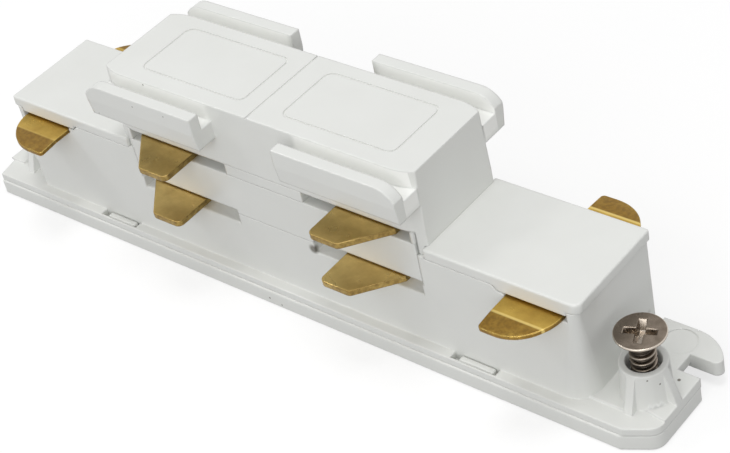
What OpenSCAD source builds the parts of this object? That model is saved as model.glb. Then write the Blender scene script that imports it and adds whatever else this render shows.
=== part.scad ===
// Straight connector for a three-circuit lighting track: a white moulded body in layers,
// four brass line strips and one brass earth strip whose tabs stand out at both sides.
// X runs along the connector, Y across it, Z up from the underside of the base.

/* [Base] */
// Width of the ledge of base plate beside the housings
ledge_w = 1.5; // [1.2:0.05:3]
// Thickness of the bottom plate
plate_t = 2.2; // [1.2:0.05:3]
// Thickness of the flange above the bottom plate
flange_t = 1; // [0.6:0.05:2]
// How far the flange edge lies inside the plate edge
flange_inset = 0.2; // [0.05:0.05:0.6]
// Length of base beyond each end block, on the right
right_apron = 8.5; // [8:0.1:14]
// Length of base beyond each end block, on the left
left_apron = 8.6; // [8:0.1:14]
// How much the left end draws back at its two corners
left_slant = 0.7; // [0:0.1:2]
// Length that the cut right front corner takes off the side of the base
corner_len = 3.9; // [1:0.1:6]
// Angle between the cut corner and the side of the base, in degrees
corner_angle = 28; // [10:1:60]
// Radius between the cut corner and the right end
corner_r = 2; // [0.5:0.1:3]
// Rise of the pad at each end
pad_rise = 0.25; // [0.1:0.05:0.8]
// Length of the left pad
pad_len = 2.3; // [1:0.1:3]
// Overhang of the left pad past the flange edge
pad_overhang = 0.25; // [0:0.05:0.5]
// Distance of a pad's front edge from the side of the plate
pad_margin = 3.3; // [1.5:0.1:5]
// How much the right pad's front edge draws back beside the boss
pad_slant = 0.6; // [0:0.1:1.5]
// Distance of the right pad's front edge from the side of the plate, between block and boss
pad_inner_margin = 2.6; // [1.5:0.1:5]
// Radius of the sunk ejector mark behind the right boss
mark_r = 2.05; // [1:0.05:2.2]
// Depth of that mark
mark_depth = 0.1; // [0.05:0.05:0.2]
// Distance of the mark from the back edge of the base
mark_margin = 0.5; // [0.3:0.1:2]

/* [Hooked finger] */
// Reach of the finger past the end of the base
finger_reach = 1.6; // [0.3:0.1:3]
// Thickness of the finger
finger_t = 1.95; // [0.8:0.05:2.4]
// Radius of the finger's outer corner
finger_r = 5.8; // [4.5:0.1:6]
// Radius of the finger's tip
finger_tip_r = 0.8; // [0.3:0.1:1.2]
// Depth of the notch in front of the finger
notch_depth = 2.9; // [1:0.1:3.5]
// Distance of the notch's front side from the centre line
notch_front = 2.05; // [1:0.05:2.5]
// Width of the notch
notch_w = 2.7; // [1.5:0.1:3.2]
// How far the bottom plate stands back from the notch and the finger
plate_setback = 1.25; // [0.5:0.05:1.6]

/* [End blocks] */
// Width of all the housings
body_w = 14; // [13:0.1:15]
// Length of the right end block
right_block_len = 21; // [19:0.1:30]
// Length of the left end block
left_block_len = 21.8; // [19:0.1:30]
// Length of the middle stack
stack_len = 45; // [44:0.1:50]
// Height of the end blocks above the flange
block_h = 13.25; // [12.5:0.05:15]
// Thickness of the inner wall of an end block, beside the stack
inner_wall_t = 0.8; // [0.5:0.1:1.2]
// How far that inner wall stands above the block
inner_wall_rise = 0.25; // [0.05:0.05:0.6]
// Radius of the right block's front corner at its top
block_r_top = 0.9; // [0.4:0.1:2]
// Radius of the right block's front corner at its foot
block_r_foot = 3; // [1:0.1:4]
// Radius of the other corners of the blocks and the lids
block_r = 0.3; // [0.1:0.1:1]
// Wall beside the moulded cores and the earth pockets
core_wall = 2; // [1.2:0.1:2.4]
// Thickness of the floors above the cores
core_roof = 1.5; // [1:0.1:2.5]

/* [End lids] */
// Thickness of an end lid
lid_t = 1.45; // [0.8:0.05:2.5]
// Overhang of a lid past the end wall
lid_overhang = 0.4; // [0:0.1:1.2]
// Radius of the right lid's front corner
lid_r = 1; // [0.3:0.1:2]

/* [Earth strip] */
// Thickness of the earth strip
earth_t = 0.55; // [0.4:0.05:1]
// Depth of the earth strip's seat below the top of the end blocks
earth_depth = 1.4; // [1.2:0.05:2.2]
// Distance from the right lid's inner edge to the straight edge of the earth tabs
right_earth_start = 10.9; // [8:0.1:12]
// Distance from the left lid's inner edge to the straight edge of the earth tabs
left_earth_start = 11.5; // [8:0.1:12]
// Length of the right earth tabs along the connector
right_earth_len = 7.5; // [6:0.05:8]
// Length of the left earth tabs along the connector
left_earth_len = 8; // [6:0.05:8]
// Reach of the earth tabs past the sides of the housing
earth_reach = 5.2; // [3.5:0.1:7]
// Radius of the rounded outer corner of an earth tab
earth_r = 5.45; // [2:0.05:5.5]
// Radius of the small inner corner of an earth tab
earth_inner_r = 0.5; // [0.2:0.1:1]
// Distance of the crease from the side of the housing
crease_gap = 2.5; // [0.5:0.1:3]
// Downward bend of the tab past its crease, in degrees
earth_bend = 5; // [0:1:12]
// Width of the bar that joins the two earth ends
earth_link_w = 2.2; // [1.2:0.1:3]
// Height of the slots for the earth tabs
earth_slot_h = 0.8; // [0.7:0.05:1.1]
// Room in the slots at the outer end of the tabs
earth_slot_play = 0.6; // [0.1:0.1:0.8]
// Length that the lids' skirts reach past the straight edge of the tabs
skirt_play = 1; // [0.3:0.1:1.2]

/* [Line contacts] */
// Thickness of a line strip
line_t = 0.8; // [0.5:0.05:1]
// Gap between the end of a line strip and the outer end of its slot
line_end_gap = 2.3; // [0.5:0.1:4]
// Distance of a line strip's inner edge from the centre line
line_bar_in = 2.4; // [2.2:0.1:2.8]
// Width of the bar that joins the two tabs of a strip
line_bar_w = 2.2; // [1.5:0.1:2.3]
// Distance from a slot's inner end to the straight edge of a tab
tab_start = 5.2; // [3:0.1:6]
// Width of the tip of a tab
tab_tip_w = 4.4; // [2:0.1:6]
// Reach of the tabs past the sides of the housing
tab_reach = 5.1; // [3:0.1:7]
// Radius of the tip's corners
tab_tip_r = 0.8; // [0.2:0.1:1]
// Depth of the lower strips' seats below the seam
line_sink = 0.4; // [0.2:0.05:0.7]
// Depth of the lower slots below their strips
slot_drop = 1.1; // [0.5:0.05:2]
// Headroom of the slots above their strips
slot_headroom = 0.2; // [0.1:0.05:0.5]
// Distance from the middle to the inner end of the slots
slot_in = 6; // [4:0.1:8]
// Distance from the end of the stack to the outer end of the slots
slot_margin = 0.2; // [0.1:0.1:1]

/* [Middle stack] */
// Height of the seam below the middle housing, above the flange
lower_seam = 9; // [7:0.05:10]
// Height of the middle housing
middle_h = 6.05; // [5.5:0.05:7]
// Floor of the carrier under the upper strips
carrier_floor = 0.6; // [0.3:0.05:1.2]
// Thickness of the carrier's posts at both ends
post_t = 0.5; // [0.3:0.1:1]

/* [Top cover] */
// Height of the top cover above the carrier
cover_h = 8.35; // [7:0.05:12]
// Draft of the cover's sides, from its foot to its top
cover_draft = 0.36; // [0.1:0.02:1]
// Reach of the cover over the right lid
right_reach = 0.4; // [0.1:0.1:1]
// Reach of the cover over the left lid
left_reach = 0.8; // [0.1:0.1:1]
// Wall of the cover
cover_wall = 1.2; // [0.8:0.1:2]
// Thickness of the cover's roof
cover_roof = 1.5; // [1:0.1:2.5]
// Length of the lead-in curve at the cover's ends
lead_in = 3.2; // [1:0.1:4]
// How much the lead-in curve draws in
lead_in_depth = 0.8; // [0.2:0.1:1.5]

/* [Wings] */
// Distance from the middle to the inner end of a wing
wing_in = 6.3; // [4:0.1:10]
// Reach of the wings past the sides of the housing
wing_reach = 3; // [2.2:0.1:4]
// Thickness of the upright lip of a wing
lip_t = 1.5; // [0.8:0.1:2]
// Depth of the channel between lip and cover
channel_depth = 2.2; // [1:0.1:3]
// Height of a wing
wing_h = 4.6; // [3.5:0.1:6]
// Inward slope of the wing's lower edge
wing_slope = 0.3; // [0:0.1:1.2]
// Length of the ramp at the outer end of a lip
ramp_len = 2.7; // [1:0.1:5]
// Drop of that ramp
ramp_drop = 1.5; // [0.3:0.1:2]

/* [Label panels] */
// Width of the groove round a label panel
groove_w = 0.25; // [0.15:0.05:0.5]
// Depth of the grooves in the cover's top
groove_depth = 0.15; // [0.05:0.05:0.3]
// Length of a label panel
panel_len = 16.7; // [10:0.1:18]
// Width of a label panel
panel_w = 9.25; // [6:0.05:11]
// Corner radius of a label panel
panel_r = 1.2; // [0.5:0.1:3]
// Distance from the middle to a panel
panel_gap = 2.9; // [1.5:0.1:4]
// Offset of the panels from the centre line, to the back
panel_shift = 0.15; // [0:0.05:0.5]
// Distance of the middle groove from the middle, to the left
middle_groove = 0.4; // [0:0.05:1]

/* [Fixing screws] */
// Nominal diameter of the screws
screw_d = 3; // [2.5:0.1:3.5]
// Overall length of a screw
screw_len = 8; // [7:0.5:8]
// Diameter of the countersunk head
head_d = 5.9; // [5:0.1:7]
// Straight rim of the head
head_rim = 0.25; // [0.1:0.05:0.4]
// Height of the right screw above its seat
screw_raised = 3; // [0:0.1:4.5]
// Span of the cross recess over two arms
recess_span = 3.5; // [2.4:0.1:4]
// Width of an arm of the recess
recess_w = 0.7; // [0.4:0.05:1]
// Turn of the recess about the screw's axis, in degrees
recess_turn = 22; // [0:1:90]
// Radial clearance of a screw in its boss
screw_fit = 0.05; // [0.02:0.01:0.1]
// Gap under the head of a screw that is driven home
seat_gap = 0.05; // [0.02:0.01:0.1]

/* [Screw bosses] */
// Distance from the right end block to the axis of its boss
right_boss_gap = 4.4; // [3.6:0.1:5]
// Distance from the left end block to the axis of its boss
left_boss_gap = 3.9; // [3.6:0.1:5]
// Distance of the bosses from the centre line, towards the front
boss_y = 2.15; // [1:0.05:2.5]
// Height of the right boss above the flange
right_boss_h = 4.9; // [3.5:0.1:5]
// Height of the left boss above the flange
left_boss_h = 4.1; // [3.5:0.1:5]
// Radius of a boss at its foot
boss_r_foot = 3; // [2.7:0.1:3.3]
// Radius of a boss at its rim
boss_r_rim = 2.75; // [2.5:0.05:3]
// Diameter of the cup at the rim
cup_d = 4.1; // [3.8:0.1:4.8]
// Diameter of the cup at its floor
cup_floor_d = 3.7; // [3.3:0.1:3.8]
// Depth of the cup
cup_depth = 1.8; // [1:0.1:3]
// Thickness of the gussets
gusset_t = 1.05; // [0.6:0.05:1.5]
// Reach of the front and back gussets from the axis of the boss
gusset_reach = 3.95; // [3.5:0.05:5]
// Drop of a gusset's top below the rim
gusset_drop = 0.4; // [0.1:0.1:1]

/* [Snap tongues] */
// Distance from the end of the stack to the far end of the left windows
left_window = 9.9; // [8:0.1:14]
// Distance from the end of the stack to the near end of the right windows
right_window = 2.7; // [1:0.1:6]
// Length of the windows
window_len = 6.4; // [6:0.1:8]
// Strip of flange outside the windows
window_rim = 0.25; // [0.2:0.05:0.5]
// Length of the tongues
tongue_len = 4.8; // [3:0.1:5]
// Gap between a tongue and the right end of its window
tongue_end_gap = 0.5; // [0.05:0.05:0.8]
// Gap between a tongue and the sides of its window
tongue_gap = 0.1; // [0.05:0.05:0.2]

/* [Fits] */
// Gap between pieces that slide together when the connector is assembled
fit = 0.1; // [0.05:0.01:0.2]

/* [Hidden] */
$fn = 48;

// Far enough to pass right through any wall
through = 60;
// Small overlap of solids that are fused or cut
lap = 0.02;

half_body = body_w / 2;
half_w = half_body + ledge_w;
half_stack = stack_len / 2;
right_out = half_stack + right_block_len;
left_out = half_stack + left_block_len;
base_right = right_out + right_apron;
base_left = left_out + left_apron;
pad_front = half_w - pad_margin;
pad_inner_front = half_w - pad_inner_margin;
lid_in = half_stack + inner_wall_t;

flange_z = plate_t + flange_t;
pad_z = flange_z + pad_rise;
block_z = flange_z + block_h;
lid_z = block_z + lid_t;
earth_z = block_z - earth_depth;
seam_z = flange_z + lower_seam;
lower_line_z = seam_z - line_sink;
lower_slot_z = lower_line_z - slot_drop;
lower_slot_top = lower_line_z + line_t + slot_headroom;
carrier_z = seam_z + middle_h;
upper_line_z = carrier_z + carrier_floor;
cover_z = upper_line_z + line_t + slot_headroom;
top_z = cover_z + cover_h;

notch_x = base_right - notch_depth;
notch_back = notch_front + notch_w;
plate_x = notch_x - plate_setback;
finger_cx = base_right + finger_reach - finger_r;
finger_cy = half_w - finger_r;
mark_x = notch_x - mark_r;
mark_y = half_w - mark_margin - mark_r;

line_bar_out = line_bar_in + line_bar_w;
slot_back = line_bar_out + fit;
slot_out = half_stack - slot_margin;
upper_slot_out = half_stack - post_t;
line_end = slot_out - line_end_gap;
tab_in = slot_in + tab_start;
tab_tip = half_body + tab_reach;
right_earth_in = lid_in + right_earth_start;
left_earth_in = lid_in + left_earth_start;
right_earth_end = right_earth_in + right_earth_len;
left_earth_end = left_earth_in + left_earth_len;
earth_tip = half_body + earth_reach;
earth_crease = half_body + crease_gap;
slot_top = earth_z + earth_slot_h;
core_half = half_body - core_wall;

cover_right = lid_in + right_reach;
cover_left = lid_in + left_reach;
cover_top_half = half_body - cover_draft;
wing_out = half_body + wing_reach;

window_w = ledge_w - flange_inset - window_rim;
right_boss_x = right_out + right_boss_gap;
left_boss_x = left_out + left_boss_gap;
right_rim_z = flange_z + right_boss_h;
left_rim_z = flange_z + left_boss_h;
head_h = (head_d - screw_d) / 2;
recess_depth = 0.7 * head_h;
// Height of a seated screw's top above the rim: its cone rests on the mouth of the cup
seat_h = head_h + head_rim + seat_gap - (cup_d - screw_d) / 2;

module both_sides() {
    children();
    mirror([0, 1, 0]) children();
}

module both_ends() {
    children();
    mirror([1, 0, 0]) children();
}

module four_ways() {
    both_ends() both_sides() children();
}

// A block from one corner to the opposite one
module box(low, high) {
    translate(low) cube(high - low);
}

// Rectangle with all four corners rounded
module round_rect(low, high, r) {
    translate([low[0] + r, low[1]]) square([high[0] - low[0] - 2 * r, high[1] - low[1]]);
    translate([low[0], low[1] + r]) square([high[0] - low[0], high[1] - low[1] - 2 * r]);
    for (x = [low[0] + r, high[0] - r], y = [low[1] + r, high[1] - r]) translate([x, y]) circle(r);
}

// Plan of an end piece: square towards the middle, its outer corners rounded
module end_plan(x0, x1, front_r, back_r) {
    polygon([[x0, -half_body], [x1 - front_r, -half_body], [x1, front_r - half_body],
             [x1, half_body - back_r], [x1 - back_r, half_body], [x0, half_body]]);
    translate([x1 - front_r, front_r - half_body]) circle(front_r);
    translate([x1 - back_r, half_body - back_r]) circle(back_r);
}

// Plan of the finger: part of a disc behind the notch, and the round tip
module finger_outline() {
    tip_y = notch_back + finger_tip_r;
    reach = finger_r - finger_tip_r;
    angle = asin((tip_y - finger_cy) / reach);
    tip_x = finger_cx + reach * cos(angle);
    root_x = plate_x + fit;
    intersection() {
        translate([finger_cx, finger_cy]) circle(finger_r, $fn = 96);
        polygon([[root_x, notch_back], [tip_x, notch_back], [tip_x, tip_y],
                 [finger_cx + through * cos(angle), finger_cy + through * sin(angle)],
                 [root_x, finger_cy + through * sin(angle)]]);
    }
    translate([tip_x, tip_y]) circle(finger_tip_r);
}

// Plan of the base without its finger; behind the front of the notch it stops at the given X
module base_outline(stop) {
    // Length of the tangents to the round between the cut corner and the end
    tangent = corner_r * tan((90 - corner_angle) / 2);
    corner_y = corner_len * tan(corner_angle) - half_w;
    polygon([[left_slant - base_left, -half_w], [base_right - corner_len, -half_w],
             [base_right - tangent * cos(corner_angle), corner_y - tangent * sin(corner_angle)],
             [base_right, corner_y + tangent], [base_right, notch_front], [stop, notch_front],
             [stop, half_w], [left_slant - base_left, half_w], [-base_left, pad_front],
             [-base_left, -pad_front]]);
    translate([base_right - corner_r, corner_y + tangent]) circle(corner_r);
}

// The flange stays inside the plate's edge along both sides and at the left end
module flange_outline() {
    intersection() {
        base_outline(notch_x);
        translate([flange_inset, 0]) base_outline(notch_x);
        square([2 * through, 2 * (half_w - flange_inset)], center = true);
    }
}

// The windows for the tongues at the front; the tongues lie near their right ends
module tongue_place() {
    for (x = [-half_stack - left_window, half_stack + right_window])
        translate([x, -half_body - window_w, 0]) children();
}

module base_plate() color("whitesmoke") difference() {
    union() {
        linear_extrude(plate_t) base_outline(plate_x);
        both_sides() tongue_place()
            translate([window_len - tongue_end_gap - tongue_len, tongue_gap, plate_t - lap])
                cube([tongue_len, window_w - 2 * tongue_gap, flange_t + lap]);
    }
    screw_hole(right_boss_x, right_rim_z);
    screw_hole(-left_boss_x, left_rim_z);
}

// Raised parts of the flange: all of the right end but its front corner, and a pad at the left end
module pads() {
    root = right_out - block_r_foot;
    translate([0, 0, plate_t]) linear_extrude(pad_z - plate_t)
        polygon([[root, -pad_inner_front], [right_boss_x, -pad_inner_front],
                 [right_boss_x, pad_slant - pad_front], [base_right, -pad_front], [base_right, notch_front],
                 [notch_x, notch_front], [notch_x, notch_back + finger_tip_r], [finger_cx, half_w],
                 [right_out - lap, half_w], [right_out - lap, 0], [root, 0]]);
    translate([0, 0, flange_z - lap]) linear_extrude(pad_rise + lap)
        translate([-base_left - pad_overhang, -pad_front]) square([pad_len + pad_overhang, 2 * pad_front]);
}

// Tapered cup for a screw, with gussets to the front, to the back and out to the end of the base
module boss(x, height, end) {
    rib_top = height - gusset_drop;
    translate([x, -boss_y, flange_z - lap]) {
        cylinder(h = height + lap, r1 = boss_r_foot, r2 = boss_r_rim);
        gusset(gusset_reach, rib_top, -90);
        gusset(gusset_reach, rib_top, 90);
        gusset(end - x, rib_top, 0);
    }
}

// A triangular rib that starts in the boss and runs out at its foot
module gusset(reach, height, turn) {
    rotate([0, 0, turn]) translate([0, gusset_t / 2, 0]) rotate([90, 0, 0]) linear_extrude(gusset_t)
        polygon([[0, 0], [reach, 0], [reach, pad_rise + lap], [boss_r_rim - lap, height], [0, height]]);
}

// One end block up to its lid, with the thin wall beside the stack
module block_body(out, top_r, foot_r) {
    hull() {
        translate([0, 0, flange_z - lap]) linear_extrude(lap)
            end_plan(half_stack, out, foot_r, block_r, $fn = 32);
        translate([0, 0, block_z - lap]) linear_extrude(lap)
            end_plan(half_stack, out, top_r, block_r, $fn = 32);
    }
    box([half_stack, -half_body, block_z - lap], [lid_in, half_body, block_z + inner_wall_rise]);
}

// Side view of the ways out for a pair of earth tabs; their near end is bevelled
module earth_way(start, end) {
    edge = start - skirt_play;
    run = block_z + lap - slot_top + fit;
    translate([0, half_body + lap, 0]) rotate([90, 0, 0]) linear_extrude(2 * (half_body + lap))
        polygon([[start - fit, earth_z], [end + earth_slot_play, earth_z],
                 [end + earth_slot_play, block_z + lap], [edge - run, block_z + lap],
                 [edge, slot_top - fit], [start - fit, slot_top - fit]]);
}

// Space for one end of the earth strip, open at the top, with the ways out for its tabs and its link
module earth_pocket(start, end) {
    box([lid_in + core_wall, -core_half, earth_z], [end + earth_slot_play, core_half, block_z + lap]);
    earth_way(start, end);
    box([half_stack - lap, -earth_link_w / 2 - fit, earth_z],
        [lid_in + core_wall + lap, earth_link_w / 2 + fit, block_z + inner_wall_rise + lap]);
}

// Slot beside a lower tab, with its lower lip bevelled
module lower_slot() {
    bevel = slot_headroom;
    box([slot_in, slot_back, lower_slot_z], [slot_out, half_body + lap, seam_z + lap]);
    translate([slot_in, half_body, lower_slot_z - lap]) rotate([90, 0, 90]) linear_extrude(slot_out - slot_in)
        polygon([[lap, -bevel], [lap, lap + bevel], [-bevel, lap + bevel], [-bevel, lap]]);
}

// Bore for a screw from the underside up, and the cup at its mouth
module screw_hole(x, rim) {
    translate([x, -boss_y, -lap]) cylinder(h = rim + 2 * lap, d = screw_d + 2 * screw_fit);
    translate([x, -boss_y, rim - cup_depth]) cylinder(h = cup_depth + lap, d1 = cup_floor_d, d2 = cup_d);
}

// Space below an end block's floor
module block_core(out) {
    box([half_stack + core_wall, -core_half, plate_t - lap], [out - core_wall, core_half, earth_z - core_roof]);
}

module main_housing() color("white") difference() {
    union() {
        translate([0, 0, plate_t]) linear_extrude(flange_t) flange_outline();
        translate([0, 0, pad_z - finger_t]) linear_extrude(finger_t) finger_outline();
        pads();
        boss(right_boss_x, right_boss_h, base_right);
        mirror([1, 0, 0]) boss(left_boss_x, left_boss_h, base_left);
        block_body(right_out, block_r_top, block_r_foot);
        mirror([1, 0, 0]) block_body(left_out, block_r, block_r);
        box([-half_stack - lap, -half_body, flange_z - lap], [half_stack + lap, half_body, seam_z]);
        box([-half_stack - lap, -earth_link_w / 2, seam_z - lap],
            [half_stack + lap, earth_link_w / 2, earth_z]);
    }
    screw_hole(right_boss_x, right_rim_z);
    screw_hole(-left_boss_x, left_rim_z);
    earth_pocket(right_earth_in, right_earth_end);
    mirror([1, 0, 0]) earth_pocket(left_earth_in, left_earth_end);
    four_ways() lower_slot();
    both_sides() box([-line_end - fit, line_bar_in - fit, lower_line_z],
                     [line_end + fit, slot_back, seam_z + lap]);
    both_sides() tongue_place() translate([0, 0, plate_t - lap])
        cube([window_len, window_w, flange_t + 2 * lap]);
    block_core(right_out);
    mirror([1, 0, 0]) block_core(left_out);
    both_ends() box([core_wall / 2, -core_half, plate_t - lap],
                    [half_stack - core_wall, core_half, lower_slot_z - core_roof]);
    translate([mark_x, mark_y, pad_z - mark_depth]) cylinder(h = mark_depth + lap, r = mark_r);
}

// A lid with its plug, and the skirts that close the slots above the earth tabs
module end_lid(out, front_r, start, end) color("white") {
    edge = start - skirt_play + fit;
    run = block_z + lap - slot_top;
    translate([0, 0, block_z]) linear_extrude(lid_t)
        end_plan(lid_in + fit / 2, out + lid_overhang, front_r, block_r);
    box([lid_in + core_wall + fit, fit - core_half, slot_top],
        [end + earth_slot_play - fit, core_half - fit, block_z + lap]);
    translate([0, half_body, 0]) rotate([90, 0, 0]) linear_extrude(2 * half_body)
        polygon([[edge, slot_top], [end + earth_slot_play - fit, slot_top],
                 [end + earth_slot_play - fit, block_z + lap], [edge - run, block_z + lap]]);
}

module left_end_lid() {
    mirror([1, 0, 0]) end_lid(left_out, block_r, left_earth_in, left_earth_end);
}

module right_end_lid() {
    end_lid(right_out, lid_r, right_earth_in, right_earth_end);
}

module middle_housing() color("white") difference() {
    box([fit - half_stack, -half_body, seam_z], [half_stack - fit, half_body, carrier_z]);
    box([-half_stack, -earth_link_w / 2 - fit, seam_z - lap],
        [half_stack, earth_link_w / 2 + fit, earth_z + earth_t + fit]);
    four_ways() box([slot_in, slot_back, seam_z - lap], [half_stack, half_body + lap, lower_slot_top]);
    both_sides() box([-line_end - fit, line_bar_in - fit, seam_z - lap],
                     [line_end + fit, slot_back + lap, lower_line_z + line_t]);
}

module contact_carrier() color("white") difference() {
    box([-half_stack, -half_body, carrier_z], [half_stack, half_body, cover_z]);
    four_ways() box([slot_in, slot_back, carrier_z - lap], [upper_slot_out, half_body + lap, cover_z + lap]);
    both_sides() box([-line_end - fit, line_bar_in - fit, upper_line_z],
                     [line_end + fit, line_bar_out, cover_z + lap]);
    four_ways() box([tab_in - fit, line_bar_out - lap, upper_line_z],
                    [line_end + fit, slot_back + lap, cover_z + lap]);
}

// Plan of the cover: straight sides that curve in at both ends
module cover_plan(half) {
    r = (lead_in * lead_in + lead_in_depth * lead_in_depth) / (2 * lead_in_depth);
    angle = asin(lead_in / r);
    steps = 8;
    // The curve, from where it leaves the straight side to the end of the cover
    curve = [for (i = [0:steps]) let (a = angle * i / steps) [r * sin(a) - lead_in, half - r * (1 - cos(a))]];
    back = concat([for (i = [steps:-1:0]) [-curve[i][0] - cover_left, curve[i][1]]],
                  [for (p = curve) [p[0] + cover_right, p[1]]]);
    polygon(concat(back, [for (i = [len(back) - 1:-1:0]) [back[i][0], -back[i][1]]]));
}

module cover_shell() {
    hull() {
        translate([0, 0, cover_z]) linear_extrude(lap) cover_plan(half_body);
        translate([0, 0, top_z - lap]) linear_extrude(lap) cover_plan(cover_top_half);
    }
}

// Ends of the cover below its foot, from the given height up and as far out as the given X
module cover_ends(low, reach) {
    intersection() {
        translate([0, 0, low]) linear_extrude(cover_z + lap - low) cover_plan(half_body);
        both_ends() box([half_stack + fit, -half_body, low - lap], [reach, half_body, cover_z + 2 * lap]);
    }
}

// One wing: an arm with an upright lip, ramped down at its outer end
module wing(outer) {
    root = cover_top_half - cover_wall / 2;
    low = top_z - wing_h;
    ramp_r = (ramp_len * ramp_len + ramp_drop * ramp_drop) / (2 * ramp_drop);
    intersection() {
        translate([wing_in, 0, 0]) rotate([90, 0, 90]) linear_extrude(outer - wing_in)
            polygon([[root, low], [wing_out - wing_slope, low], [wing_out, low + wing_h / 2], [wing_out, top_z],
                     [wing_out - lip_t, top_z], [wing_out - lip_t, top_z - channel_depth],
                     [root, top_z - channel_depth]]);
        translate([0, through, 0]) rotate([90, 0, 0]) linear_extrude(through) union() {
            translate([0, low]) square([outer - ramp_len, wing_h]);
            translate([0, low]) square([outer, wing_h - ramp_drop]);
            translate([outer - ramp_len, top_z - ramp_r]) intersection() {
                circle(ramp_r, $fn = 96);
                translate([-lap, ramp_r - wing_h + lap]) square([ramp_len + lap, wing_h]);
            }
        }
    }
}

// Outline of a label panel as a shallow groove
module panel_groove(x0) {
    low = [x0, panel_shift - panel_w / 2];
    high = [x0 + panel_len, panel_shift + panel_w / 2];
    rim = [groove_w, groove_w];
    translate([0, 0, top_z - groove_depth]) linear_extrude(groove_depth + lap) difference() {
        round_rect(low, high, panel_r);
        round_rect(low + rim, high - rim, panel_r - groove_w);
    }
}

module top_cover() color("white") difference() {
    union() {
        cover_shell();
        both_sides() wing(cover_right);
        both_sides() mirror([1, 0, 0]) wing(cover_left);
        cover_ends(block_z + inner_wall_rise, lid_in);
        cover_ends(lid_z, through);
    }
    box([cover_wall - half_stack, cover_wall - half_body, cover_z - lap],
        [half_stack - cover_wall, half_body - cover_wall, top_z - cover_roof]);
    panel_groove(panel_gap);
    panel_groove(-panel_gap - panel_len);
    translate([-middle_groove - groove_w / 2, -through, top_z - groove_depth])
        cube([groove_w, 2 * through, groove_depth + lap]);
}

// Points along an arc
function arc(centre, r, from, to, steps = 8) =
    [for (i = [0:steps]) let (a = from + (to - from) * i / steps) centre + r * [cos(a), sin(a)]];

// The same outline turned over, end first, so that it goes on where the first half stops
function turned_over(points) = [for (i = [len(points) - 1:-1:0]) [-points[i][0], points[i][1]]];

// Plan of a line strip at the back: a bar with two tabs, whose tips are rounded at both corners
module line_plan() {
    end = line_end;
    tip_x = tab_in + tab_tip_w;
    r = tab_tip_r;
    // The slanted edge of a tab runs from its tip to the wall of the housing
    slant = atan2(tab_tip - half_body, end - tip_x);
    half = concat([[end, line_bar_in], [end, half_body]],
                  arc([tip_x - r * tan(slant / 2), tab_tip - r], r, 90 - slant, 90),
                  arc([tab_in + r, tab_tip - r], r, 90, 180),
                  [[tab_in, line_bar_out]]);
    polygon(concat(half, turned_over(half)));
}

module line_strip(z) color("darkgoldenrod") translate([0, 0, z]) linear_extrude(line_t) line_plan();

module lower_back_contact() {
    line_strip(lower_line_z);
}

module lower_front_contact() {
    mirror([0, 1, 0]) line_strip(lower_line_z);
}

module upper_back_contact() {
    line_strip(upper_line_z);
}

module upper_front_contact() {
    mirror([0, 1, 0]) line_strip(upper_line_z);
}

// Outline of a back earth tab, from its outer end round its tip and in to the link
function earth_tab(start, end) =
    concat(arc([end - earth_r, earth_tip - earth_r], earth_r, 0, 90, 16),
           arc([start + earth_inner_r, earth_tip - earth_inner_r], earth_inner_r, 90, 180),
           [[start, earth_link_w / 2]]);

// Plan of the earth strip: a plate across each end block, and the link between them
module earth_plan() {
    back = concat(earth_tab(right_earth_in, right_earth_end),
                  turned_over(earth_tab(left_earth_in, left_earth_end)));
    polygon(concat(back, [for (i = [len(back) - 1:-1:0]) [back[i][0], -back[i][1]]]));
}

// Side view of the earth strip: flat as far as the creases, and bent down a little past them
module earth_profile() {
    past = earth_tip + lap - earth_crease;
    drop = past * tan(earth_bend);
    inner = earth_crease - earth_t * tan(earth_bend / 2);
    half = [[earth_crease, earth_t], [earth_crease + past, earth_t - drop],
            [earth_crease + past, -drop], [inner, 0]];
    polygon(concat(half, turned_over(half)));
}

module earth_strip() color("goldenrod") translate([0, 0, earth_z]) intersection() {
    translate([0, 0, -2 * earth_t]) linear_extrude(4 * earth_t) earth_plan();
    rotate([90, 0, 90]) translate([0, 0, -through]) linear_extrude(2 * through) earth_profile();
}

// A countersunk screw with its axis at the given X: its head, and its shank down to a blunt tip
module screw(x, top) {
    tip = top - screw_len;
    chamfer = screw_d / 8;
    translate([x, -boss_y, 0]) difference() {
        union() {
            translate([0, 0, tip + chamfer]) cylinder(h = screw_len - chamfer - head_rim, d = screw_d);
            translate([0, 0, tip]) cylinder(h = chamfer + lap, d1 = screw_d - 2 * chamfer, d2 = screw_d);
            translate([0, 0, top - head_rim - head_h]) cylinder(h = head_h, d1 = screw_d, d2 = head_d);
            translate([0, 0, top - head_rim]) cylinder(h = head_rim, d = head_d);
        }
        for (turn = [0, 90]) rotate([0, 0, turn + recess_turn])
            box([-recess_span / 2, -recess_w / 2, top - recess_depth],
                [recess_span / 2, recess_w / 2, top + lap]);
    }
}

module right_fixing_screw() color("dimgray") screw(right_boss_x, right_rim_z + seat_h + screw_raised);

module left_fixing_screw() color("dimgray") mirror([1, 0, 0]) screw(left_boss_x, left_rim_z + seat_h);

base_plate();
main_housing();
left_end_lid();
right_end_lid();
middle_housing();
contact_carrier();
top_cover();
lower_front_contact();
lower_back_contact();
upper_front_contact();
upper_back_contact();
earth_strip();
left_fixing_screw();
right_fixing_screw();
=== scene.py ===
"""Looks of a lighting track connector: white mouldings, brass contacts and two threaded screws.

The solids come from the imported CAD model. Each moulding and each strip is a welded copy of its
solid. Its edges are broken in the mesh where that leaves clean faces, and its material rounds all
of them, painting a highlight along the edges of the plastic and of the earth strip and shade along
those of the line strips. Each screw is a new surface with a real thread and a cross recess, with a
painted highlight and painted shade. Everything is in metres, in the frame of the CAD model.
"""

import logging
import math
from dataclasses import dataclass, field
from enum import Enum
from functools import reduce
from typing import Any

import bmesh
import bpy
import numpy as np
from mathutils import Matrix, Vector


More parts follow.
